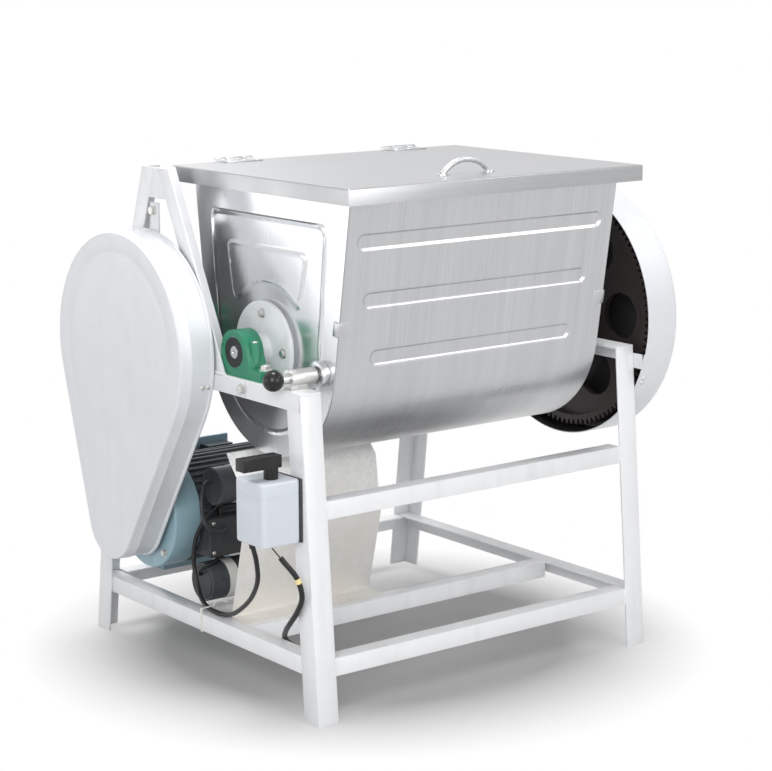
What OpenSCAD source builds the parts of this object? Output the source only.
// Dough kneader: a tilting stainless trough on an angle-iron frame, driven by
// a motor, a belt, a countershaft and a gear pair.
// Built with X along the shafts, Y to the rear and Z up, then moved so that
// the origin is at the middle of the footprint on the floor.

/* [Frame] */
// Width over the legs
frame_w = 724; // [700:1:760]
// Depth over the feet
frame_d = 696; // [680:1:740]
// Height of the rails that carry the shafts
frame_h = 540; // [520:1:580]
// How far the front legs lean back over their height
front_lean = 43; // [30:1:60]
// How far the rear legs lean forward over their height
rear_lean = 65; // [40:1:70]
// Flange of the leg iron and of the rails' tops
leg_flange = 40; // [38:1:42]
// Flange of the cross and base rails
rail_flange = 30; // [24:1:32]
// Thickness of the angle iron
iron_t = 4; // [3:0.5:5]
// Underside of the base rails
base_rail_z = 77; // [60:1:90]
// Front face of the middle base rail
middle_rail_y = 230; // [220:1:236]
// Underside of the upper front rail
cross_rail_z = 333; // [300:1:345]

/* [Pulley stand] */
// Height of the stand above the rail
stand_h = 327; // [310:1:330]
// Width of the stand's flat top
stand_top_w = 83; // [70:1:100]
// From the stand's middle to the front of its front foot
stand_front_run = 203; // [198:1:206]
// From the stand's middle to the back of its rear foot
stand_rear_run = 153; // [140:1:160]
// From the stand's middle back to the countershaft
stand_offset = 20; // [10:1:26]
// Width of each stand leg, measured level
stand_leg_w = 35; // [30:1:38]
// Height of the plate that fills the stand's top
gusset_h = 52; // [40:1:60]

/* [Shafts and bearings] */
// Stirring shaft's distance from the front of the feet
axis_y = 237; // [234:1:240]
// Height of the shaft centres above the rails
block_h = 40; // [39:0.5:44]
// Radius of the stirring shaft
shaft_r = 15; // [12:0.5:16]
// Radius of the countershaft
counter_r = 12.5; // [10:0.5:14]
// Outer radius of the bearing ring
block_ring_r = 37.5; // [34:0.5:38.5]
// Seat radius inside the bearing block
block_bore_r = 26; // [24:0.5:28]
// Width of a bearing block along the shaft
block_w = 34; // [30:1:34]
// Thickness of a bearing block's base
block_base_t = 18; // [14:1:20]
// Base length in front of the shaft
block_front_run = 77; // [75:1:82]
// Base length behind the shaft
block_rear_run = 42; // [40:1:42]
// Width of a ball bearing
bearing_w = 15; // [12:1:15]

/* [Gears] */
// Tooth size
gear_module = 4; // [3.9:0.05:4.05]
// Teeth on the large gear
gear_teeth = 106; // [104:1:108]
// Teeth on the pinion
pinion_teeth = 16; // [15:1:17]
// Face width of the large gear
gear_face = 40; // [30:1:44]
// Play between the teeth along the pitch circle
backlash = 0.6; // [0.4:0.1:0.8]
// Gap between the frame and the gear cover
gear_cover_gap = 3; // [2:0.5:4]
// Depth of the gear cover
gear_cover_d = 70; // [66:1:76]
// Radius of the gear cover round the large gear
gear_cover_r = 230; // [226:1:234]
// Radius of the gear cover round the pinion
pinion_cover_r = 52; // [46:1:56]

/* [Belt drive] */
// Outer radius of the large pulley
big_pulley_r = 170; // [160:1:176]
// Outer radius of the motor pulley
small_pulley_r = 38; // [34:1:42]
// Depth of a pulley groove
groove_d = 8; // [6:0.5:9]
// Width of one belt
belt_w = 13; // [10:0.5:13.5]
// Distance between the two belts
belt_pitch = 18; // [16:0.5:19]
// Depth of the belt cover
belt_cover_d = 68; // [64:1:72]
// Gap between the belt cover and the frame
belt_cover_gap = 3; // [2:0.5:4]
// Radius of the belt cover round the large pulley
belt_cover_r = 199; // [192:1:202]
// How far the belt cover's middle sits under the countershaft
belt_cover_drop = 19.5; // [14:0.5:20]
// Radius of the belt cover round the motor pulley
motor_cover_r = 70; // [60:1:76]
// Sheet of both covers
cover_t = 1.5; // [1:0.25:2]

/* [Motor] */
// Motor shaft's distance behind the countershaft
motor_behind = 43; // [38:1:46]
// Height of the motor shaft
motor_z = 250; // [240:1:256]
// Outer radius of the motor
motor_r = 97; // [92:1:98]
// Gap between the frame's side and the motor's front bell
motor_x = 5; // [4.5:0.5:8]
// Length of the front bell
bell_l = 55; // [48:1:60]
// Length of the ribbed body
motor_body_l = 180; // [174:1:200]
// Length of the fan cover
fan_cover_l = 47; // [44:1:54]
// Radius of the motor shaft
motor_shaft_r = 12; // [10:0.5:14]
// Thickness of the motor's mounting plate
motor_plate_t = 6; // [5:0.5:8]

/* [Trough] */
// From the legs' outer faces to the trough's end panels
trough_in = 76; // [75:0.5:82]
// Outer radius of the round bottom
trough_r = 183; // [180:1:184]
// Rim above the shaft
rim_h = 285; // [280:1:290]
// Lean of the front wall in degrees
front_slope = 8.7; // [8:0.1:9]
// Lean of the rear wall in degrees
rear_slope = 7; // [6:0.1:7]
// Sheet of the trough
sheet_t = 1.5; // [1:0.25:2]
// Width of the rim's outward fold
rim_fold = 20; // [16:1:20]
// Radius of the trunnion flange
trunnion_r = 80; // [74:1:84]
// Thickness of the trunnion flange
trunnion_t = 7; // [6:0.5:8]

/* [Lid] */
// How far the lid passes the end panels
lid_over = 28; // [27:0.5:29]
// Front edge of the lid in front of the shaft
lid_front = 260; // [258:1:264]
// Rear edge of the lid behind the shaft
lid_rear = 245; // [244:1:248]
// Depth of the lid's skirt
skirt_h = 27; // [22:1:27]
// Distance between the hinges
hinge_span = 366; // [330:1:400]
// Length of a hinge
hinge_l = 75; // [70:1:90]
// Width between the ends of the lid's handle
handle_w = 100; // [90:1:120]
// Height of the lid's handle
handle_h = 28; // [26:1:34]

/* [Lock] */
// Lock pin's distance in front of the stirring shaft
lock_front = 149; // [144:1:152]
// Lock pin above the rails
lock_h = 18; // [17:0.5:20]
// Radius of the lock pin
lock_r = 8; // [7:0.5:9]
// Travel of the lock pin
lock_travel = 10; // [8:0.5:10]
// Radius of the lock's ball knob
knob_r = 17.5; // [15:0.5:17.5]

/* [Switch] */
// Depth of the switch box from the leg
switch_d = 74; // [66:1:76]
// Width of the switch box
switch_w = 74; // [66:1:76]
// Height of the switch box
switch_h = 98; // [90:1:104]
// Underside of the switch box
switch_z = 304; // [296:1:312]
// Length of the lever from its pivot
lever_l = 59; // [50:1:64]

/* [Hidden] */
$fn = 96;
// Overrun of cuts, running fit, face gap and bolt hole clearance
cut = 1;
fit = 0.05;
gap = 0.3;
hole_gap = 0.4;

// Colours
grey_paint = "#a9adaf";
steel = "#b9bcbe";
teal = "#3f7f86";
dark = "#33383d";
black = "#17181a";
white = "#dcdedd";

// Places that follow from the sizes above
axis_z = frame_h + block_h;
centre_distance = gear_module * (gear_teeth + pinion_teeth) / 2;
counter_y = axis_y + centre_distance;
motor_y = counter_y + motor_behind;
stand_y = counter_y - stand_offset;
axis = [axis_y, axis_z];
counter = [counter_y, axis_z];
motor = [motor_y, motor_z];
trough_x = trough_in;
trough_w = frame_w - 2 * trough_in;
lid_w = trough_w + 2 * lid_over;
base_top = base_rail_z + rail_flange;
switch_plate = 3;
switch_pivot = [39, 30];
lever_tip_x = switch_pivot[0] - switch_plate - switch_d - lever_l;
gear_cover_x = frame_w + gear_cover_gap;
middle = [(lever_tip_x + gear_cover_x + gear_cover_d) / 2, (axis_y - lid_front + frame_d) / 2, 0];

// Small sizes of the frame
bolt_r = 5;
bolt_head_r = 9.5;
bolt_head_h = 7;
block_x = 5;
block_bolt_in = 10;
block_stud_back = 34;
block_stud_h = 12;
oiler_r = 9;
oiler_h = 42;
oiler_front = 37;

// Small sizes of the covers
strap_t = 2;
strap_w = 26;
strap_in = 30;
bead = 3;
bead_w = 6;
belt_strap_h = 50;
side_strap_l = 90;
gear_strap_drop = 55;
gear_strap_l = 46;

// Small sizes of the belt drive
pulley_hub_r = 30;
pulley_web_t = 12;
pulley_rim_t = 14;
pulley_w = 2 * belt_pitch + 2;
pulley_x = -17;
belt_t = 10;
belt_lift = 2;

// Small sizes of the gears
gear_rim_t = 14;
gear_web_t = 12;
gear_hub_r = 34;
gear_inset = 13;
spoke_holes = 6;
spoke_hole_r = 42;
spoke_hole_place_share = 0.61;
pressure_angle = 20;

// Small sizes of the motor
fin_n = 44;
fin_h = 6;
motor_wall = 5;
rear_bell_l = 18;
bell_wall = 7;
motor_bearing_r = 20;
stator_r = 56;
air_gap = 0.5;
core_l = 120;
foot_w = 53;
foot_h = 31;
foot_spread = 137;
foot_bolt_in = 13;
foot_bolt_gap = 24;
fan_r = 78;
fan_w = 18;
fan_blade_t = 3;
fan_blades = 8;
plate_w = 145;
plate_over = 27;
terminal_l = 95;
terminal_h = 69;
terminal_d = 49;
terminal_drop = 31.5;
upper_cap = [-120, 62];
lower_cap = [-82, -119];
upper_cap_r = 33;
lower_cap_r = 35;
cap_l = 88;
cap_x = 68;
cap_arm = 12;

// Small sizes of the trough and its fittings
rib_deep = 3;
rib_h = 30;
rib_drops = [66, 164, 262];
rib_starts = [20, 42, 67];
rib_ends = [25, 47, 69];
lid_line = 260;
clip_drop = 208;
clip_w = 24;
clip_t = 2;
panel_bead = 2.5;
panel_bead_w = 6;
border_r = 145;
border_front_slope = 5.2;
border_rear_slope = 6;
border_h = 220;
pocket_r = 111;
pocket_low_front = 90;
pocket_low_rear = 99;
pocket_low_h = 73;
pocket_high_front = 112;
pocket_high_rear = 117;
pocket_high_h = 167;
sleeve_wall = 6;
trunnion_bolts = 4;
trunnion_bolt_in = 20;
small_bolt_r = 4;
small_head_r = 7;
small_head_h = 4;
boss_r = 22;
boss_l = 14;

// Small sizes of the lid's fittings
knuckle_r = 5;
hinge_pin_r = 2.5;
leaf_t = 2;
leaf_l = 37;
hinge_behind = 6.5;
hinge_up = 1;
bracket_t = 3.5;
bracket_w = 34;
bracket_drop = 38;
bracket_foot = 22;
handle_rod_r = 5;
handle_back = 81;
handle_shift = -13;

// Small sizes of the lock, the switch and the guard
lock_sleeve_r = 14;
lock_sleeve_x = 8;
lock_sleeve_l = 50;
lock_foot_w = 20;
knob_x = -20;
switch_wall = 3;
switch_y = 42;
lever_hub_r = 12;
lever_hub_h = 22;
lever_arm_w = 24;
lever_arm_h = 20;
lever_tail = 13;
lever_stem_r = 4;
guard_x = 30;
guard_w = 294;
guard_t = 1.5;
guard_foot = 49;
// The guard sheet's folds, from the middle rail's front face and the base's top
guard_folds = [[64, 0], [60, 13], [33, 123], [27, 147], [41, 251], [60, 273], [70, 288]];

// Stirring paddles
paddle_n = 5;
paddle_turn = 144;
paddle_reach = 172;
paddle_edge = 52;
arm_r = 9;
arm_hub_r = 26;
arm_hub_l = 34;
blade_l = 78;
blade_h = 44;
blade_t = 8;
blade_twist = 25;

// Routes of the leads, in millimetres in the same frame as the sizes
motor_lead_r = 4;
small_lead_r = 2.5;
mains_r = 4.5;
motor_lead_route = [[-62, 92, 303.6], [-61, 91, 290], [-56, 90, 268], [-42, 108, 228],
    [-15, 170, 178], [10, 250, 132], [20, 300, 114], [22, 345, 112], [30, 385, 118],
    [38, 412, 140], [40, 426, 178], [40, 417, 220], [48, 404, 252], [62, 404, 268],
    [82, 416, 271.5], [95, 424, 269], [98, 425, 262], [98, 425, 253.4]];
upper_lead_route = [[67.6, 404, 322], [60, 404, 322], [46, 398, 318], [34, 388, 296],
    [32, 382, 268], [42, 380, 246], [64, 384, 237], [80, 389, 236], [84, 396, 236],
    [84, 402, 236]];
lower_lead_route = [[67.6, 442, 146], [62, 442, 146], [58, 434, 154], [64, 424, 164],
    [80, 420, 170], [88, 420, 175], [88, 420, 183.6]];
mains_route = [[-56, 46.7, 300.9], [-40, 36, 276], [-22, 26, 248], [-11, 28, 214],
    [-8, 46, 185], [-2, 72, 161], [9, 99, 142], [24, 126, 125], [41, 152, 108],
    [62, 173, 90], [88, 189, 72], [116, 203, 54], [144, 218, 39], [170, 237, 26],
    [194, 261, 17], [216, 289, 11], [236, 317, 7], [256, 347, 5], [276, 376, 5],
    [296, 405, 5], [316, 434, 5], [334, 464, 5], [348, 497, 5], [359, 530, 5],
    [366, 565, 5], [370, 600, 5]];

// Round coil of the mains lead on the floor, and its plug
coil_middle = [430, 600];
coil_r = 60;
coil_pitch = 11;
coil_end_l = 22;
coil_turns = 2;
coil_rise = 9.6;
coil_z = 5;
coil_rings = 24;
coil_sides = 6;
plug_r = 14;
plug_l = 46;
plug_pin = [18, 6, 1.5];
plug_pin_gap = 12;

// Basic helpers
module placed() {
    translate(-middle) children();
}

module box(low, high) {
    translate(low) cube(high - low);
}

// A flat outline, drawn in Y and Z, made thick along X
module along_x(x, length) {
    translate([x, 0, 0]) rotate([90, 0, 90]) linear_extrude(length) children();
}

module rod_x(x, length, r, centre) {
    along_x(x, length) translate(centre) circle(r);
}

module right_side() {
    translate([frame_w, 0, 0]) mirror([1, 0, 0]) children();
}

module both_sides() {
    children();
    right_side() children();
}

function polar(centre, r, a) = centre + r * [cos(a), sin(a)];
function front_leg_y(z) = front_lean * z / frame_h;
function rear_leg_y(z) = frame_d - rear_lean * z / frame_h;

// Outline round two circles and their outer tangents
module teardrop(c1, r1, c2, r2) {
    reach = c2 - c1;
    aim = atan2(reach[1], reach[0]);
    side = acos((r1 - r2) / norm(reach));
    translate(c1) circle(r1);
    translate(c2) circle(r2);
    polygon([polar(c1, r1, aim + side), polar(c2, r2, aim + side),
        polar(c2, r2, aim - side), polar(c1, r1, aim - side)]);
}

// Outline of the trough: a round bottom with two walls leaning out, which cross the
// round a hair inside it
tangent_lap = 0.02;
module trough_outline(r, slope_f, slope_r, height) {
    translate(axis) circle(r + tangent_lap);
    polygon([polar(axis, r, 180 + slope_f), wall_point(r, slope_f, height, -1),
        wall_point(r, slope_r, height, 1), polar(axis, r, -slope_r)]);
}

// Where a leaning wall is at a height above the shaft
function wall_point(r, slope, height, side) =
    axis + [side * (r / cos(slope) + height * tan(slope)), height];

// Hexagonal bolt head and round shank, standing on z = 0 and going down
module bolt(r, head_r, head_h, length) {
    cylinder(h = head_h, r = head_r, $fn = 6);
    translate([0, 0, -length]) cylinder(h = length, r = r);
}

// Tubes along a route: a smooth curve through the points, with round section
function curve(a, b, c, d, t) = (2 * b + (c - a) * t + (2 * a - 5 * b + 4 * c - d) * t * t
    + (3 * b - a - 3 * c + d) * t * t * t) / 2;
function smooth(p, steps) = concat([for (i = [0:len(p) - 2], s = [0:steps - 1])
    curve(p[max(i - 1, 0)], p[i], p[i + 1], p[min(i + 2, len(p) - 1)], s / steps)],
    [p[len(p) - 1]]);
function unit(v) = v / norm(v);
function heading(p, i) = unit(p[min(i + 1, len(p) - 1)] - p[max(i - 1, 0)]);
function square_to(v, t) = unit(v - (v * t) * t);
function frames(p, i, v) = i == len(p) ? [] :
    let (n = square_to(v, heading(p, i))) concat([n], frames(p, i + 1, n));

module tube(p, r, sides, start_side) {
    normals = frames(p, 0, start_side);
    rings = [for (i = [0:len(p) - 1], k = [0:sides - 1])
        p[i] + r * (normals[i] * cos(k * 360 / sides)
        + cross(heading(p, i), normals[i]) * sin(k * 360 / sides))];
    last = (len(p) - 1) * sides;
    ends = [[for (k = [0:sides - 1]) k], [for (k = [sides - 1:-1:0]) last + k]];
    walls = [for (i = [0:len(p) - 2], k = [0:sides - 1], half = [0, 1])
        let (a = i * sides + k, b = i * sides + (k + 1) % sides)
        half == 0 ? [a, a + sides, b] : [b, a + sides, b + sides]];
    polyhedron(rings, concat(ends, walls), convexity = 10);
}

// Involute teeth
function involute(a) = tan(a) * 180 / PI - a;
function half_tooth(teeth, r) =
    let (pitch_r = gear_module * teeth / 2, base_r = pitch_r * cos(pressure_angle))
    (90 / teeth) - backlash * 90 / PI / pitch_r
    + involute(pressure_angle) - involute(acos(min(1, base_r / r)));

module toothed(teeth, turn) {
    pitch_r = gear_module * teeth / 2;
    radii = [pitch_r - 1.25 * gear_module, pitch_r - 0.5 * gear_module, pitch_r,
        pitch_r + 0.5 * gear_module, pitch_r + gear_module];
    n = len(radii);
    polygon([for (i = [0:teeth - 1], k = [0:2 * n - 1])
        let (r = k < n ? radii[k] : radii[2 * n - 1 - k], side = k < n ? -1 : 1)
        polar([0, 0], r, turn + i * 360 / teeth + side * half_tooth(teeth, r))]);
}

// Frame of angle iron
module leg_left(lean) {
    side_top = frame_h - rail_flange;
    top = frame_h - iron_t;
    along_x(0, iron_t) polygon([[0, 0], [leg_flange, 0],
        [leg_flange + lean * side_top / frame_h, side_top],
        [lean * side_top / frame_h, side_top]]);
    along_x(0, leg_flange) polygon([[0, 0], [iron_t, 0],
        [iron_t + lean * top / frame_h, top], [lean * top / frame_h, top]]);
}

module front_legs() placed() color(grey_paint) both_sides() leg_left(front_lean);

module rear_legs() placed() color(grey_paint) both_sides()
    translate([0, frame_d, 0]) mirror([0, 1, 0]) leg_left(rear_lean);

module top_rail_left() {
    difference() {
        union() {
            box([0, front_lean + iron_t, frame_h - rail_flange],
                [iron_t, frame_d - rear_lean - iron_t, frame_h]);
            box([0, front_lean, frame_h - iron_t], [leg_flange, frame_d - rear_lean, frame_h]);
        }
        for (y = [axis_y, counter_y]) block_bolt_holes(y);
    }
}

module top_rails() placed() color(grey_paint) both_sides() top_rail_left();

module base_side_rails() placed() color(grey_paint) both_sides() {
    y = front_leg_y(base_top) + iron_t;
    y_end = rear_leg_y(base_top) - iron_t;
    box([iron_t, y, base_rail_z], [2 * iron_t, y_end, base_top]);
    box([iron_t, y, base_top - iron_t], [iron_t + rail_flange, y_end, base_top]);
}

// A rail along X with its upright flange at one edge and its level flange on top
module cross_rail(x, y, z, upright_y) {
    box([x, upright_y, z], [frame_w - x, upright_y + iron_t, z + rail_flange]);
    box([x, y, z + rail_flange - iron_t], [frame_w - x, y + rail_flange, z + rail_flange]);
}

module base_cross_rails() placed() color(grey_paint) {
    front_y = front_leg_y(base_top);
    rear_y = rear_leg_y(base_top);
    cross_rail(leg_flange, front_y, base_rail_z, front_y);
    cross_rail(iron_t + rail_flange, middle_rail_y, base_rail_z, middle_rail_y);
    difference() {
        cross_rail(leg_flange, rear_y - rail_flange, base_rail_z, rear_y - iron_t);
        plate_bolt_places() translate([0, 0, -2 * motor_plate_t])
            cylinder(h = 3 * motor_plate_t, r = bolt_r + hole_gap);
    }
}

module front_cross_rail() placed() color(grey_paint) {
    y = front_leg_y(cross_rail_z + rail_flange);
    cross_rail(leg_flange, y, cross_rail_z, y);
}

// Pulley stand: two leaning irons that meet in a flat top
stand_top = frame_h + stand_h;
front_foot_y = stand_y - stand_front_run;
rear_foot_y = stand_y + stand_rear_run;
function stand_front_edge(z) = front_foot_y
    + (stand_front_run - stand_top_w / 2) * (z - frame_h) / stand_h;
function stand_rear_edge(z) = rear_foot_y
    - (stand_rear_run - stand_top_w / 2) * (z - frame_h) / stand_h;
module stand_front_leg() placed() color(grey_paint) {
    inner_foot = front_foot_y + stand_leg_w;
    inner_top = stand_front_edge(stand_top) + stand_leg_w;
    along_x(0, iron_t) polygon([[front_foot_y, frame_h], [inner_foot, frame_h],
        [inner_top, stand_top], [stand_front_edge(stand_top), stand_top]]);
    along_x(0, stand_leg_w) polygon([[inner_foot - iron_t, frame_h], [inner_foot, frame_h],
        [inner_top, stand_top], [inner_top - iron_t, stand_top]]);
}

module stand_rear_leg() placed() color(grey_paint) {
    inner_top = stand_rear_edge(stand_top) - stand_leg_w;
    along_x(0, iron_t) polygon([[rear_foot_y, frame_h], [rear_foot_y - stand_leg_w, frame_h],
        [inner_top, stand_top], [stand_rear_edge(stand_top), stand_top]]);
    along_x(0, stand_leg_w) polygon([[rear_foot_y, frame_h], [rear_foot_y - iron_t, frame_h],
        [stand_rear_edge(stand_top) - iron_t, stand_top],
        [stand_rear_edge(stand_top), stand_top]]);
}

module stand_gusset() placed() color(grey_paint) {
    low = stand_top - gusset_h;
    along_x(0, iron_t) polygon([[stand_front_edge(low) + stand_leg_w, low],
        [stand_rear_edge(low) - stand_leg_w, low],
        [stand_rear_edge(stand_top) - stand_leg_w, stand_top],
        [stand_front_edge(stand_top) + stand_leg_w, stand_top]]);
}

// Bearing blocks on the rails
module block_bolt_holes(y) {
    for (place = [block_bolt_in - block_front_run, block_stud_back])
        translate([block_x + block_w / 2, y + place, frame_h - 2 * iron_t])
        cylinder(h = 3 * iron_t, r = bolt_r + hole_gap);
}

module bearing_block(y) {
    difference() {
        union() {
            along_x(block_x, block_w) {
                translate([y, axis_z]) circle(block_ring_r);
                translate([y - block_front_run, frame_h])
                    square([block_front_run + block_rear_run, block_base_t]);
                polygon([[y - block_ring_r - oiler_r, frame_h + block_base_t],
                    [y - block_ring_r, axis_z], [y + block_ring_r, axis_z],
                    [y + block_ring_r, frame_h + block_base_t]]);
            }
            translate([block_x + block_w / 2, y - oiler_front, frame_h + block_base_t])
                cylinder(h = oiler_h, r = oiler_r);
        }
        rod_x(block_x - cut, block_w + 2 * cut, block_bore_r, [y, axis_z]);
        translate([block_x + block_w / 2, y + block_bolt_in - block_front_run, frame_h - cut])
            cylinder(h = block_base_t + 2 * cut, r = bolt_r + hole_gap);
        translate([block_x + block_w / 2, y + block_stud_back, frame_h - cut])
            cylinder(h = block_stud_h + 2 * cut, r = bolt_r + hole_gap);
    }
}

module stirring_blocks() placed() color("#4f8a4d") both_sides() bearing_block(axis_y);

module countershaft_blocks() placed() color("#4f8a4d") both_sides() bearing_block(counter_y);

module block_bolts() placed() color(steel) both_sides() for (y = [axis_y, counter_y]) {
    translate([block_x + block_w / 2, y + block_bolt_in - block_front_run,
        frame_h + block_base_t])
        bolt(bolt_r, bolt_head_r, bolt_head_h, block_base_t + 2 * iron_t);
    translate([block_x + block_w / 2, y + block_stud_back, frame_h - iron_t])
        mirror([0, 0, 1]) bolt(bolt_r, bolt_head_r, bolt_head_h, iron_t + block_stud_h);
}

// A ball bearing with its two grooves
module bearing(x, width, outer, inner, centre) {
    groove = (outer - inner) / 4;
    difference() {
        rod_x(x, width, outer, centre);
        rod_x(x - cut, width + 2 * cut, inner + fit, centre);
        for (side = [0, 1]) difference() {
            rod_x(x + side * (width - groove) - (1 - side) * cut, groove + cut,
                outer - groove, centre);
            rod_x(x - cut, width + 2 * cut, inner + groove, centre);
        }
    }
}

module ball_bearings() placed() color(steel) {
    both_sides() {
        bearing(block_x + cut, bearing_w, block_bore_r, shaft_r, axis);
        bearing(block_x + (block_w - bearing_w) / 2, bearing_w, block_bore_r, counter_r, counter);
    }
    bearing(motor_x + bell_wall, bearing_w - cut, motor_bearing_r, motor_shaft_r, motor);
    bearing(rear_bell_x + 2, bearing_w - cut, motor_bearing_r, motor_shaft_r, motor);
}

// Belt cover, open at the back, and the two straps that carry it
belt_cover_x = -belt_cover_gap - belt_cover_d;
belt_cover_top = [counter_y, axis_z - belt_cover_drop];

module belt_cover() placed() color(white) difference() {
    union() {
        along_x(belt_cover_x, belt_cover_d)
            teardrop(belt_cover_top, belt_cover_r, motor, motor_cover_r);
        along_x(-belt_cover_gap - bead_w, bead_w)
            teardrop(belt_cover_top, belt_cover_r + bead, motor, motor_cover_r + bead);
    }
    along_x(belt_cover_x + cover_t, belt_cover_d)
        teardrop(belt_cover_top, belt_cover_r - cover_t, motor, motor_cover_r - cover_t);
}

// A strap end that lies on the inside of a round cover wall
module inside_tab(x, length, centre, r, a, half) {
    along_x(x, length) difference() {
        intersection() {
            translate(centre) circle(r);
            polygon([centre, polar(centre, 2 * r, a - half), polar(centre, 2 * r, a + half)]);
        }
        translate(centre) circle(r - strap_t);
    }
}

module belt_cover_straps() placed() color(white) {
    inner = belt_cover_r - cover_t;
    tab_half = strap_w * 90 / PI / inner;
    top_z = belt_cover_top[1] + inner;
    along_x(-belt_cover_gap, belt_cover_gap) {
        translate([stand_y - strap_w / 2, top_z - strap_w]) square([strap_w,
            belt_strap_h + strap_w]);
    }
    inside_tab(-strap_in, strap_in - belt_cover_gap + cut, belt_cover_top, inner,
        90 + asin(stand_offset / inner), tab_half);
    low = frame_h - rail_flange + strap_t;
    high = frame_h - strap_t;
    side_angle = 180 + asin((belt_cover_top[1] - (low + high) / 2) / inner);
    side_y = polar(belt_cover_top, inner, side_angle)[0];
    along_x(-belt_cover_gap, belt_cover_gap)
        translate([side_y - side_strap_l, low]) square([side_strap_l + 2 * strap_t, high - low]);
    inside_tab(-strap_in, strap_in - belt_cover_gap + cut, belt_cover_top, inner, side_angle,
        tab_half);
}

// Gear cover, open towards the frame, and its two straps
module gear_cover() placed() color(white) difference() {
    along_x(gear_cover_x, gear_cover_d) teardrop(axis, gear_cover_r, counter, pinion_cover_r);
    along_x(gear_cover_x - cover_t, gear_cover_d)
        teardrop(axis, gear_cover_r - cover_t, counter, pinion_cover_r - cover_t);
}

module gear_cover_straps() placed() color(white) {
    inner = gear_cover_r - cover_t;
    low = axis_z - gear_strap_drop - strap_w;
    leg_angle = 180 + asin((axis_z - cross_point(low)) / inner);
    tab_half = strap_w * 90 / PI / inner;
    wall = polar(axis, inner, leg_angle);
    along_x(frame_w, gear_cover_gap) translate([wall[0] + strap_t, wall[1] - strap_w / 2])
        square([gear_strap_l, strap_w]);
    inside_tab(gear_cover_x - cut, strap_in, axis, inner, leg_angle, tab_half);
    rear_z = frame_h - rail_flange / 2;
    side = acos((gear_cover_r - pinion_cover_r) / centre_distance);
    rear = counter + (pinion_cover_r - cover_t) * [cos(side), -sin(side)];
    slope = [-sin(side), -cos(side)];
    foot = rear + slope * ((rear[1] - rear_z) / cos(side));
    normal = [cos(side), -sin(side)];
    along_x(frame_w, gear_cover_gap) polygon([foot - slope * strap_w / 2,
        foot + slope * strap_w / 2, foot + slope * strap_w / 2 - [gear_strap_l, 0],
        foot - slope * strap_w / 2 - [gear_strap_l, 0]]);
    along_x(gear_cover_x - cut, strap_in) polygon([foot - slope * strap_w / 2,
        foot + slope * strap_w / 2, foot + slope * strap_w / 2 - normal * strap_t,
        foot - slope * strap_w / 2 - normal * strap_t]);
}

// Height at which the front strap crosses the leg
function cross_point(low) = low + strap_w / 2;

// Motor, lying on its side with its feet to the rear
motor_body_x = motor_x + bell_l;
rear_bell_x = motor_body_x + motor_body_l;
fan_cover_x = rear_bell_x + rear_bell_l;
foot_x = rear_bell_x - foot_w - 3;
foot_face_y = motor_y + motor_r + 1;
module fin_outline() {
    step = 360 / fin_n;
    root = motor_r - fin_h;
    polygon([for (i = [0:fin_n - 1]) each [polar(motor, root, (i - 0.5) * step),
        polar(motor, root, (i - 0.2) * step), polar(motor, motor_r - cut, (i - 0.16) * step),
        polar(motor, motor_r - cut, (i + 0.16) * step), polar(motor, root, (i + 0.2) * step)]]);
}

module foot_bolt_places() {
    for (x = [foot_bolt_in, foot_bolt_in + foot_bolt_gap], side = [-1, 1])
        translate([foot_x + x, foot_face_y, motor_z + side * foot_spread / 2]) children();
}

module motor_body() placed() color(dark) difference() {
    union() {
        along_x(motor_body_x, motor_body_l) fin_outline();
        for (side = [-1, 1]) {
            z = motor_z + side * foot_spread / 2;
            box([foot_x, motor_y + foot_spread / 2, z - foot_h / 2],
                [foot_x + foot_w, foot_face_y, z + foot_h / 2]);
        }
    }
    rod_x(motor_body_x - cut, motor_body_l + 2 * cut, motor_r - fin_h - motor_wall, motor);
    foot_bolt_places() rotate([90, 0, 0]) cylinder(h = foot_h, r = bolt_r + hole_gap);
}

module motor_front_bell() placed() color(teal) difference() {
    rod_x(motor_x, bell_l, motor_r, motor);
    difference() {
        rod_x(motor_x + bell_wall, bell_l, motor_r - bell_wall, motor);
        rod_x(motor_x, bell_wall + bearing_w, motor_bearing_r + bell_wall, motor);
    }
    rod_x(motor_x + bell_wall, bell_l, motor_bearing_r, motor);
    rod_x(motor_x - cut, bell_l, motor_shaft_r + cut, motor);
}

module motor_rear_bell() placed() color(teal) difference() {
    rod_x(rear_bell_x, rear_bell_l, motor_r - cut, motor);
    rod_x(rear_bell_x - cut, rear_bell_l + 2 * cut, motor_bearing_r, motor);
}

module fan_cover() placed() color(dark) difference() {
    rod_x(fan_cover_x, fan_cover_l, motor_r, motor);
    rod_x(fan_cover_x - cut, fan_cover_l - cover_t, motor_r - 2 * cover_t, motor);
    for (ring = [0.4, 0.65], i = [0:11])
        rod_x(fan_cover_x + fan_cover_l - 4 * cover_t, 5 * cover_t, motor_r * 0.07,
            polar(motor, motor_r * ring, i * 30));
}

module stator() placed() color("#8a5a3a") difference() {
    rod_x(motor_body_x + core_l / 6, core_l, motor_r - fin_h - motor_wall, motor);
    rod_x(motor_body_x, core_l * 2, stator_r, motor);
}

module rotor() placed() color(steel) {
    rod_x(motor_body_x + core_l / 6, core_l, stator_r - air_gap, motor);
    rod_x(pulley_x - pulley_w - cut, fan_cover_x + fan_cover_l - 3 * cover_t
        - pulley_x + pulley_w - 4 * cut, motor_shaft_r, motor);
}

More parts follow.
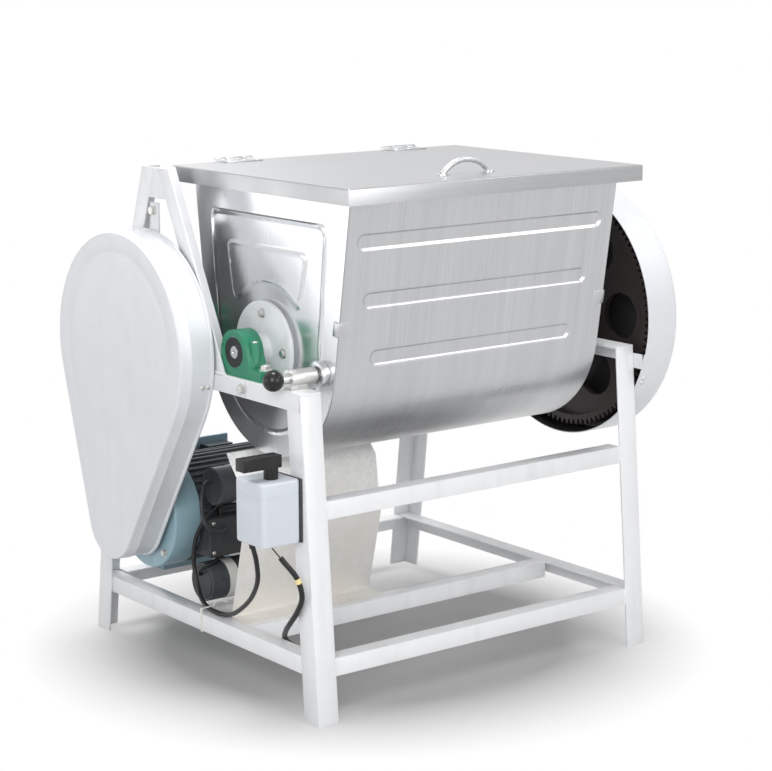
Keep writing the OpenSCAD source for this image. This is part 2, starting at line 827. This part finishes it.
module cooling_fan() placed() color(black) difference() {
    x = fan_cover_x + fan_w / 2;
    hub_r = fan_r / 4;
    union() {
        rod_x(x, fan_w, hub_r, motor);
        rod_x(x, fan_blade_t, fan_r, motor);
        translate([x, motor[0], motor[1]]) for (i = [0:fan_blades - 1])
            rotate([i * 360 / fan_blades, 0, 0])
            translate([fan_blade_t / 2, (hub_r + motor_shaft_r) / 2, -fan_blade_t / 2])
            cube([fan_w - fan_blade_t, fan_r - hub_r, fan_blade_t]);
    }
    rod_x(x - cut, fan_w + 2 * cut, motor_shaft_r, motor);
}

module terminal_box() placed() color(dark) difference() {
    front = motor_y - motor_r - terminal_d / 2;
    box([motor_body_x, front, motor_z - terminal_drop - terminal_h / 2],
        [motor_body_x + terminal_l, front + terminal_d, motor_z - terminal_drop
        + terminal_h / 2]);
    rod_x(motor_body_x - cut, motor_body_l, motor_r - cut, motor);
}

// A capacitor and the arm that holds it to the motor's body
module capacitor(place, r) {
    centre = motor + place;
    rod_x(cap_x, cap_l, r, centre);
    difference() {
        along_x(cap_x + cap_l / 2, cap_arm) translate(motor)
            rotate(atan2(place[1], place[0])) translate([0, -cap_arm / 2])
            square([norm(place) - r / 2, cap_arm]);
        rod_x(cap_x, cap_l, motor_r - cut, motor);
    }
}

module capacitors() placed() color(white) {
    capacitor(upper_cap, upper_cap_r);
    capacitor(lower_cap, lower_cap_r);
}

plate_x = foot_x + foot_w / 2 - plate_w + foot_w / 2 + 8;
module plate_bolt_places() {
    for (x = [plate_w / 6, plate_w * 5 / 6])
        translate([plate_x + x, rear_leg_y(base_top) - rail_flange / 2,
            base_top + motor_plate_t]) children();
}

module motor_plate() placed() color("#9fb3b0") difference() {
    union() {
        box([plate_x, foot_face_y, base_top], [plate_x + plate_w, foot_face_y + motor_plate_t,
            motor_z + foot_spread / 2 + plate_over]);
        box([plate_x, foot_face_y, base_top], [plate_x + plate_w, rear_leg_y(base_top),
            base_top + motor_plate_t]);
    }
    foot_bolt_places() translate([0, -cut, 0]) rotate([-90, 0, 0])
        cylinder(h = motor_plate_t + 2 * cut, r = bolt_r + hole_gap);
    plate_bolt_places() translate([0, 0, -2 * motor_plate_t])
        cylinder(h = 3 * motor_plate_t, r = bolt_r + hole_gap);
}

module motor_bolts() placed() color(steel) {
    foot_bolt_places() translate([0, motor_plate_t, 0]) rotate([-90, 0, 0])
        bolt(bolt_r, bolt_head_r, bolt_head_h, motor_plate_t + foot_h / 2);
    plate_bolt_places() bolt(bolt_r, bolt_head_r, bolt_head_h, motor_plate_t + 2 * iron_t);
}

// Belt drive
belt_xs = [for (i = [0, 1]) pulley_x - pulley_w / 2 + (i - 0.5) * belt_pitch];

module pulley(centre, r, hub_r, bore_r) {
    difference() {
        union() {
            rod_x(pulley_x - pulley_w, pulley_w, r, centre);
        }
        for (x = belt_xs) difference() {
            rod_x(x - belt_w / 2 - gap, belt_w + 2 * gap, r + cut, centre);
            rod_x(x - belt_w, 2 * belt_w, r - groove_d - belt_lift, centre);
        }
        if (r > 2 * hub_r) for (side = [0, 1]) difference() {
            rod_x(pulley_x - pulley_w + side * (pulley_w + pulley_web_t) / 2
                - (1 - side) * cut, (pulley_w - pulley_web_t) / 2 + cut, r - groove_d
                - pulley_rim_t, centre);
            rod_x(pulley_x - pulley_w - 2 * cut, pulley_w + 4 * cut, hub_r, centre);
        }
        rod_x(pulley_x - pulley_w - cut, pulley_w + 2 * cut, bore_r, centre);
    }
}

module small_pulley() placed() color(dark) pulley(motor, small_pulley_r, pulley_hub_r,
    motor_shaft_r);

module big_pulley() placed() color(dark) pulley(counter, big_pulley_r, pulley_hub_r, counter_r);

module v_belts() placed() color(black) for (x = belt_xs) difference() {
    big = big_pulley_r - groove_d - belt_lift + gap;
    small = small_pulley_r - groove_d - belt_lift + gap;
    along_x(x - belt_w / 2, belt_w) teardrop(counter, big + belt_t, motor, small + belt_t);
    along_x(x - belt_w, 2 * belt_w) teardrop(counter, big, motor, small);
}

// Countershaft and gears
gear_x = gear_cover_x + gear_inset;
gear_r = gear_module * gear_teeth / 2;

module countershaft() placed() color(steel) {
    rod_x(pulley_x - pulley_w - cut, gear_x + gear_face + 3 * cut - pulley_x + pulley_w,
        counter_r, counter);
}

module pinion() placed() color(steel) difference() {
    along_x(gear_x - cut, gear_face + 2 * cut) translate(counter) toothed(pinion_teeth,
        180 + 180 / pinion_teeth);
    rod_x(gear_x - 2 * cut, gear_face + 4 * cut, counter_r, counter);
}

module big_gear() placed() color("#5a3a33") difference() {
    union() {
        along_x(gear_x, gear_face) translate(axis) toothed(gear_teeth, 0);
    }
    for (side = [0, 1]) difference() {
        rod_x(gear_x + side * (gear_face + gear_web_t) / 2 - (1 - side) * cut,
            (gear_face - gear_web_t) / 2 + cut, gear_r - gear_rim_t, axis);
        rod_x(gear_x - 2 * cut, gear_face + 4 * cut, gear_hub_r, axis);
    }
    for (i = [0:spoke_holes - 1])
        rod_x(gear_x - cut, gear_face + 2 * cut, spoke_hole_r,
            polar(axis, gear_r * spoke_hole_place_share, i * 360 / spoke_holes));
    rod_x(gear_x - 2 * cut, gear_face + 4 * cut, shaft_r, axis);
}

// Stirring shaft and paddles
module stirring_shaft() placed() color(steel)
    rod_x(block_x + cut, gear_x + gear_face + cut - block_x, shaft_r, axis);

module paddles() placed() color(steel) for (i = [0:paddle_n - 1]) {
    x = trough_x + paddle_edge + i * (trough_w - 2 * paddle_edge) / (paddle_n - 1);
    translate([x, axis_y, axis_z]) rotate([i * paddle_turn + 20, 0, 0]) difference() {
        union() {
            rotate([0, 90, 0]) cylinder(h = arm_hub_l, r = arm_hub_r, center = true);
            cylinder(h = paddle_reach - blade_h / 2, r = arm_r);
            rotate([0, 0, blade_twist]) translate([-blade_l / 2, -blade_t / 2,
                paddle_reach - blade_h]) cube([blade_l, blade_t, blade_h]);
        }
        rotate([0, 90, 0]) cylinder(h = 2 * arm_hub_l, r = shaft_r, center = true);
    }
}

// Trough: a wrapped sheet between two end panels
module trough_body_outline(inset) {
    trough_outline(trough_r - inset, front_slope, rear_slope, rim_h + 2 * inset);
}

module on_front_wall() {
    corner = wall_point(trough_r, front_slope, lid_line, -1);
    translate([0, corner[0], corner[1]]) rotate([90 + front_slope, 0, 0]) children();
}

module rib_outline(i, half) {
    x = trough_x + rib_starts[i] + rib_h / 2;
    x_end = frame_w - trough_x - rib_ends[i] - rib_h / 2;
    for (end = [x, x_end]) translate([end, 0]) circle(half);
    translate([x, -half]) square([x_end - x, 2 * half]);
}

// A rib is pressed into the wall: a hollow outside, its bulge inside the trough
module rib_bulge(i) on_front_wall() translate([0, -rib_drops[i], -rib_deep - sheet_t])
    linear_extrude(rib_deep + sheet_t / 2) rib_outline(i, rib_h / 2 + sheet_t);

module rib_hollow(i) on_front_wall() translate([0, -rib_drops[i], -rib_deep])
    linear_extrude(rib_deep + cut) rib_outline(i, rib_h / 2);

module trough_wrap() placed() color(steel) {
    difference() {
        union() {
            difference() {
                along_x(trough_x + sheet_t, trough_w - 2 * sheet_t) trough_body_outline(0);
                along_x(trough_x, trough_w) trough_body_outline(sheet_t);
            }
            for (i = [0:len(rib_drops) - 1]) rib_bulge(i);
        }
        for (i = [0:len(rib_drops) - 1]) rib_hollow(i);
    }
    rim = wall_point(trough_r, front_slope, rim_h, -1);
    box([trough_x + sheet_t, rim[0] - rim_fold, rim[1] - sheet_t],
        [frame_w - trough_x - sheet_t, rim[0] + sheet_t / 2, rim[1]]);
}

// Raised lines pressed into an end panel
module panel_pressing() {
    difference() {
        trough_outline(border_r, border_front_slope, border_rear_slope, border_h);
        trough_outline(border_r - panel_bead_w, border_front_slope, border_rear_slope,
            border_h - panel_bead_w);
        translate(lock) circle(boss_r + gap);
    }
    difference() {
        polygon([axis + [-pocket_low_front, pocket_low_h], axis + [-pocket_high_front,
            pocket_high_h], axis + [pocket_high_rear, pocket_high_h],
            axis + [pocket_low_rear, pocket_low_h]]);
        translate(axis) circle(pocket_r);
    }
}

module trough_end() {
    fold_front = wall_point(trough_r, front_slope, rim_h, -1)[0];
    fold_rear = wall_point(trough_r, rear_slope, rim_h, 1)[0] - sheet_t;
    difference() {
        union() {
            along_x(trough_x, sheet_t) trough_body_outline(0);
            along_x(trough_x - panel_bead, panel_bead) panel_pressing();
            box([trough_x - rim_fold, fold_front, axis_z + rim_h - sheet_t],
                [trough_x + sheet_t / 2, fold_rear, axis_z + rim_h]);
        }
        rod_x(trough_x - cut, sheet_t + 2 * cut, seal_r, axis);
        trunnion_bolt_holes();
    }
}

module trough_end_left() placed() color(steel) trough_end();

module trough_end_right() placed() color(steel) right_side() trough_end();

// Trunnions: hollow stubs that turn in the blocks and carry the trough
trunnion_step = 6;
trunnion_step_in = 8;
seal_r = block_bore_r - sleeve_wall;
sleeve_x = block_x + bearing_w + 2 * cut;
flange_x = trough_x - trunnion_t - trunnion_step;

module trunnion_bolt_holes() {
    for (i = [0:trunnion_bolts - 1])
        rod_x(flange_x - cut, trough_x - flange_x + sheet_t + 2 * cut, small_bolt_r + hole_gap,
            polar(axis, trunnion_r - trunnion_bolt_in, i * 360 / trunnion_bolts));
}

module trunnions() placed() color(white) both_sides() difference() {
    union() {
        rod_x(sleeve_x, flange_x - sleeve_x, block_bore_r - fit, axis);
        rod_x(flange_x, trunnion_t, trunnion_r, axis);
        rod_x(flange_x + trunnion_t, trunnion_step, trunnion_r - trunnion_step_in, axis);
    }
    rod_x(sleeve_x - cut, trough_x - sleeve_x + 2 * cut, seal_r, axis);
    trunnion_bolt_holes();
}

module shaft_seals() placed() color(black) both_sides() difference() {
    rod_x(flange_x, trough_x - flange_x + sheet_t, seal_r, axis);
    rod_x(flange_x - cut, trough_x - flange_x + sheet_t + 2 * cut, shaft_r + fit, axis);
}

module flange_bolts() placed() color(steel) both_sides() for (i = [0:trunnion_bolts - 1]) {
    place = polar(axis, trunnion_r - trunnion_bolt_in, i * 360 / trunnion_bolts);
    translate([flange_x, place[0], place[1]]) rotate([0, -90, 0])
        bolt(small_bolt_r, small_head_r, small_head_h, trough_x - flange_x + 2 * sheet_t);
    rod_x(trough_x + sheet_t, small_head_h, small_head_r, place);
}

module corner_clips() placed() color(steel) both_sides() on_front_wall()
    translate([trough_x - clip_t, -clip_drop - clip_w / 2, -clip_w / 2]) difference() {
        cube([clip_w, clip_w, clip_w / 2 + clip_t]);
        translate([clip_t, -cut, -cut]) cube([clip_w, clip_w + 2 * cut, clip_w / 2 + cut]);
    }

// Lock: a sliding pin that enters a boss on the trough
lock = [axis_y - lock_front, frame_h + lock_h];
boss_x = trough_x - boss_l;
pin_tip_x = boss_x - 2 * gap;

module lock_boss() placed() color(steel) difference() {
    rod_x(boss_x, boss_l, boss_r, lock);
    rod_x(boss_x - cut, lock_travel + cut, lock_r + hole_gap, lock);
}

module lock_sleeve() placed() color(steel) difference() {
    union() {
        rod_x(lock_sleeve_x, lock_sleeve_l, lock_sleeve_r, lock);
        box([lock_sleeve_x, lock[0] - lock_foot_w / 2, frame_h],
            [leg_flange, lock[0] + lock_foot_w / 2, lock[1]]);
    }
    rod_x(lock_sleeve_x - cut, lock_sleeve_l + 2 * cut, lock_r + fit, lock);
}

module lock_pin() placed() color(steel) rod_x(knob_x, pin_tip_x - knob_x, lock_r, lock);

module lock_knob() placed() color(black) difference() {
    translate([knob_x, lock[0], lock[1]]) sphere(knob_r);
    rod_x(knob_x - gap, 2 * knob_r, lock_r + 2 * fit, lock);
}

// Lid with its handle and hinges
lid_top = axis_z + rim_h + gap + sheet_t;
lid_y = axis_y - lid_front;
lid_y_end = axis_y + lid_rear;
lid_x = (frame_w - lid_w) / 2;
hinge = [lid_y_end + hinge_behind, lid_top + hinge_up];
hinge_xs = [frame_w / 2 - hinge_span / 2, frame_w / 2 + hinge_span / 2];

module lid() placed() color(steel) difference() {
    box([lid_x, lid_y, lid_top - skirt_h], [lid_x + lid_w, lid_y_end, lid_top]);
    box([lid_x + sheet_t, lid_y + sheet_t, lid_top - skirt_h - cut],
        [lid_x + lid_w - sheet_t, lid_y_end - sheet_t, lid_top - sheet_t]);
}

module lid_handle() placed() color(steel) intersection() {
    rise = handle_h - handle_rod_r;
    bow_r = (handle_w * handle_w / 4 + rise * rise) / (2 * rise);
    half = asin(handle_w / 2 / bow_r) + handle_rod_r;
    translate([frame_w / 2 + handle_shift, lid_y + handle_back, lid_top + rise - bow_r])
        rotate([90, 0, 0]) rotate([0, 0, 90 - half])
        rotate_extrude(angle = 2 * half) translate([bow_r, 0]) circle(handle_rod_r, $fn = 32);
    box([lid_x, lid_y, lid_top], [lid_x + lid_w, lid_y_end, lid_top + 2 * handle_h]);
}

module lid_hinge_leaves() placed() color(steel) for (x = hinge_xs) difference() {
    union() {
        for (side = [-1, 1]) {
            inner = bracket_w / 2 + 2 * gap;
            low = side > 0 ? x + inner : x - hinge_l / 2;
            rod_x(low, hinge_l / 2 - inner, knuckle_r, hinge);
            box([low, lid_y_end - leaf_t, lid_top],
                [low + hinge_l / 2 - inner, hinge[0], lid_top + leaf_t]);
        }
        box([x - hinge_l / 2, hinge[0] - leaf_l, lid_top],
            [x + hinge_l / 2, lid_y_end - leaf_t, lid_top + leaf_t]);
    }
    rod_x(x - hinge_l, 2 * hinge_l, hinge_pin_r + fit, hinge);
}

module hinge_brackets() placed() color(steel) for (x = hinge_xs) difference() {
    wall = [for (drop = [bracket_drop, bracket_drop + bracket_foot])
        wall_point(trough_r, rear_slope, hinge[1] - axis_z - drop, 1)];
    back = hinge[0];
    union() {
        along_x(x - bracket_w / 2, bracket_w) polygon([wall[1], wall[0],
            [back - bracket_t, wall[0][1]], [back - bracket_t, hinge[1]], [back, hinge[1]],
            [back, wall[0][1] - bracket_t], [wall[0][0] + bracket_t, wall[0][1] - bracket_t],
            wall[1] + [bracket_t, 0]]);
        rod_x(x - bracket_w / 2, bracket_w, knuckle_r, hinge);
    }
    rod_x(x - hinge_l, 2 * hinge_l, hinge_pin_r + fit, hinge);
}

module hinge_pins() placed() color(steel) for (x = hinge_xs)
    rod_x(x - hinge_l / 2, hinge_l, hinge_pin_r, hinge);

// Switch on the front left leg
module switch_box() placed() color(white) difference() {
    x = -switch_plate - switch_d;
    union() {
        box([x, switch_y, switch_z], [-switch_plate, switch_y + switch_w, switch_z + switch_h]);
        box([-switch_plate, switch_y - switch_wall, switch_z - switch_wall],
            [0, switch_y + switch_w + switch_wall, switch_z + switch_h + switch_wall]);
    }
    box([x + switch_wall, switch_y + switch_wall, switch_z + switch_wall],
        [-switch_plate - switch_wall, switch_y + switch_w - switch_wall,
        switch_z + switch_h - switch_wall]);
    translate([x + switch_pivot[0], switch_y + switch_pivot[1], switch_z + switch_h / 2])
        cylinder(h = switch_h, r = lever_stem_r + fit);
}

module switch_lever() placed() color(black)
    translate([-switch_plate - switch_d + switch_pivot[0], switch_y + switch_pivot[1],
        switch_z + switch_h]) {
        translate([0, 0, gap]) cylinder(h = lever_hub_h, r = lever_hub_r);
        translate([0, 0, -2 * switch_wall]) cylinder(h = lever_hub_h, r = lever_stem_r);
        box([-lever_l, -lever_arm_w / 2, lever_hub_h], [lever_tail, lever_arm_w / 2,
            lever_hub_h + lever_arm_h]);
    }

// Folded guard sheet between the trough and the motor
guard_shape = [for (p = guard_folds) [middle_rail_y, base_top] + p];
module guard_sheet() placed() color("#b4bab9") {
    n = len(guard_shape);
    along_x(guard_x, guard_w) polygon(concat(guard_shape, [for (i = [n - 1:-1:0])
        guard_shape[i] + [guard_t, 0]]));
    box([guard_x, guard_shape[0][0] - guard_foot, base_top],
        [guard_x + guard_w, guard_shape[0][0] + guard_t / 2, base_top + guard_t]);
}

// Leads held by the machine
module motor_leads() placed() color(black) {
    tube(smooth(motor_lead_route, 2), motor_lead_r, 8, [1, 0, 0]);
    tube(smooth(upper_lead_route, 2), small_lead_r, 8, [0, 1, 0]);
    tube(smooth(lower_lead_route, 2), small_lead_r, 8, [0, 1, 0]);
}

tie_place = 7;
tie_t = 1.5;
tie_w = 5;
module cable_tie() placed() color(white) {
    y = motor_lead_route[tie_place][1];
    top = motor_lead_route[tie_place][2] + motor_lead_r + gap;
    difference() {
        box([iron_t - tie_t, y, base_rail_z - tie_t],
            [iron_t + rail_flange + tie_t, y + tie_w, top + tie_t]);
        box([iron_t, y - cut, base_rail_z], [iron_t + rail_flange, y + tie_w + cut, top]);
    }
}

// Mains lead, its coil and its plug
module mains_lead() placed() color(black)
    tube(smooth(mains_route, 2), mains_r, 8, [0, 1, 0]);

// Middle line of the coil: in on the floor, up a layer, and out again
function coil_point(turn) =
    let (inner = coil_r - coil_turns * coil_pitch,
        r = turn < coil_turns ? coil_r - turn * coil_pitch :
        turn < coil_turns + 0.5 ? inner : inner + (turn - coil_turns - 0.5) * coil_pitch,
        up = min(1, max(0, (turn - coil_turns) * 2)))
    [coil_middle[0] - r * cos(turn * 360), coil_middle[1] + r * sin(turn * 360),
        coil_z + coil_rise * up];
coil_end_turn = 2 * coil_turns + 0.5;
coil_path = concat([mains_route[len(mains_route) - 1]],
    [for (i = [1:coil_end_turn * coil_rings]) coil_point(i / coil_rings)],
    [coil_point(coil_end_turn) + [0, -coil_end_l, 0]]);
far_pairs = [for (i = [0:len(coil_path) - 1], j = [i + 8:1:len(coil_path) - 1])
    norm(coil_path[i] - coil_path[j])];
echo(coil_self_gap = min(far_pairs) - 2 * mains_r);

module mains_coil() placed() color(black) tube(coil_path, mains_r, coil_sides, [1, 0, 0]);

module mains_plug() placed() color(black) {
    end = coil_path[len(coil_path) - 1];
    translate(end - [0, gap, 0]) rotate([90, 0, 0]) {
        cylinder(h = plug_l, r1 = plug_r * 0.6, r2 = plug_r, $fn = 32);
        for (side = [-1, 0, 1]) translate([side * plug_pin_gap / 2 - plug_pin[2] / 2,
            side == 0 ? plug_pin[1] / 2 : -plug_pin[1], plug_l])
            cube([plug_pin[2], plug_pin[1], plug_pin[0]]);
    }
}

front_legs();
rear_legs();
top_rails();
base_side_rails();
base_cross_rails();
front_cross_rail();
stand_front_leg();
stand_rear_leg();
stand_gusset();
belt_cover();
belt_cover_straps();
gear_cover();
gear_cover_straps();
stirring_blocks();
countershaft_blocks();
ball_bearings();
block_bolts();
motor_body();
motor_front_bell();
motor_rear_bell();
fan_cover();
stator();
terminal_box();
capacitors();
motor_plate();
motor_bolts();
small_pulley();
rotor();
cooling_fan();
big_pulley();
countershaft();
pinion();
v_belts();
stirring_shaft();
big_gear();
paddles();
trough_wrap();
trough_end_left();
trough_end_right();
trunnions();
shaft_seals();
flange_bolts();
corner_clips();
lock_boss();
hinge_brackets();
hinge_pins();
lid();
lid_handle();
lid_hinge_leaves();
lock_sleeve();
lock_pin();
lock_knob();
switch_box();
switch_lever();
guard_sheet();
motor_leads();
cable_tie();
mains_lead();
mains_coil();
mains_plug();
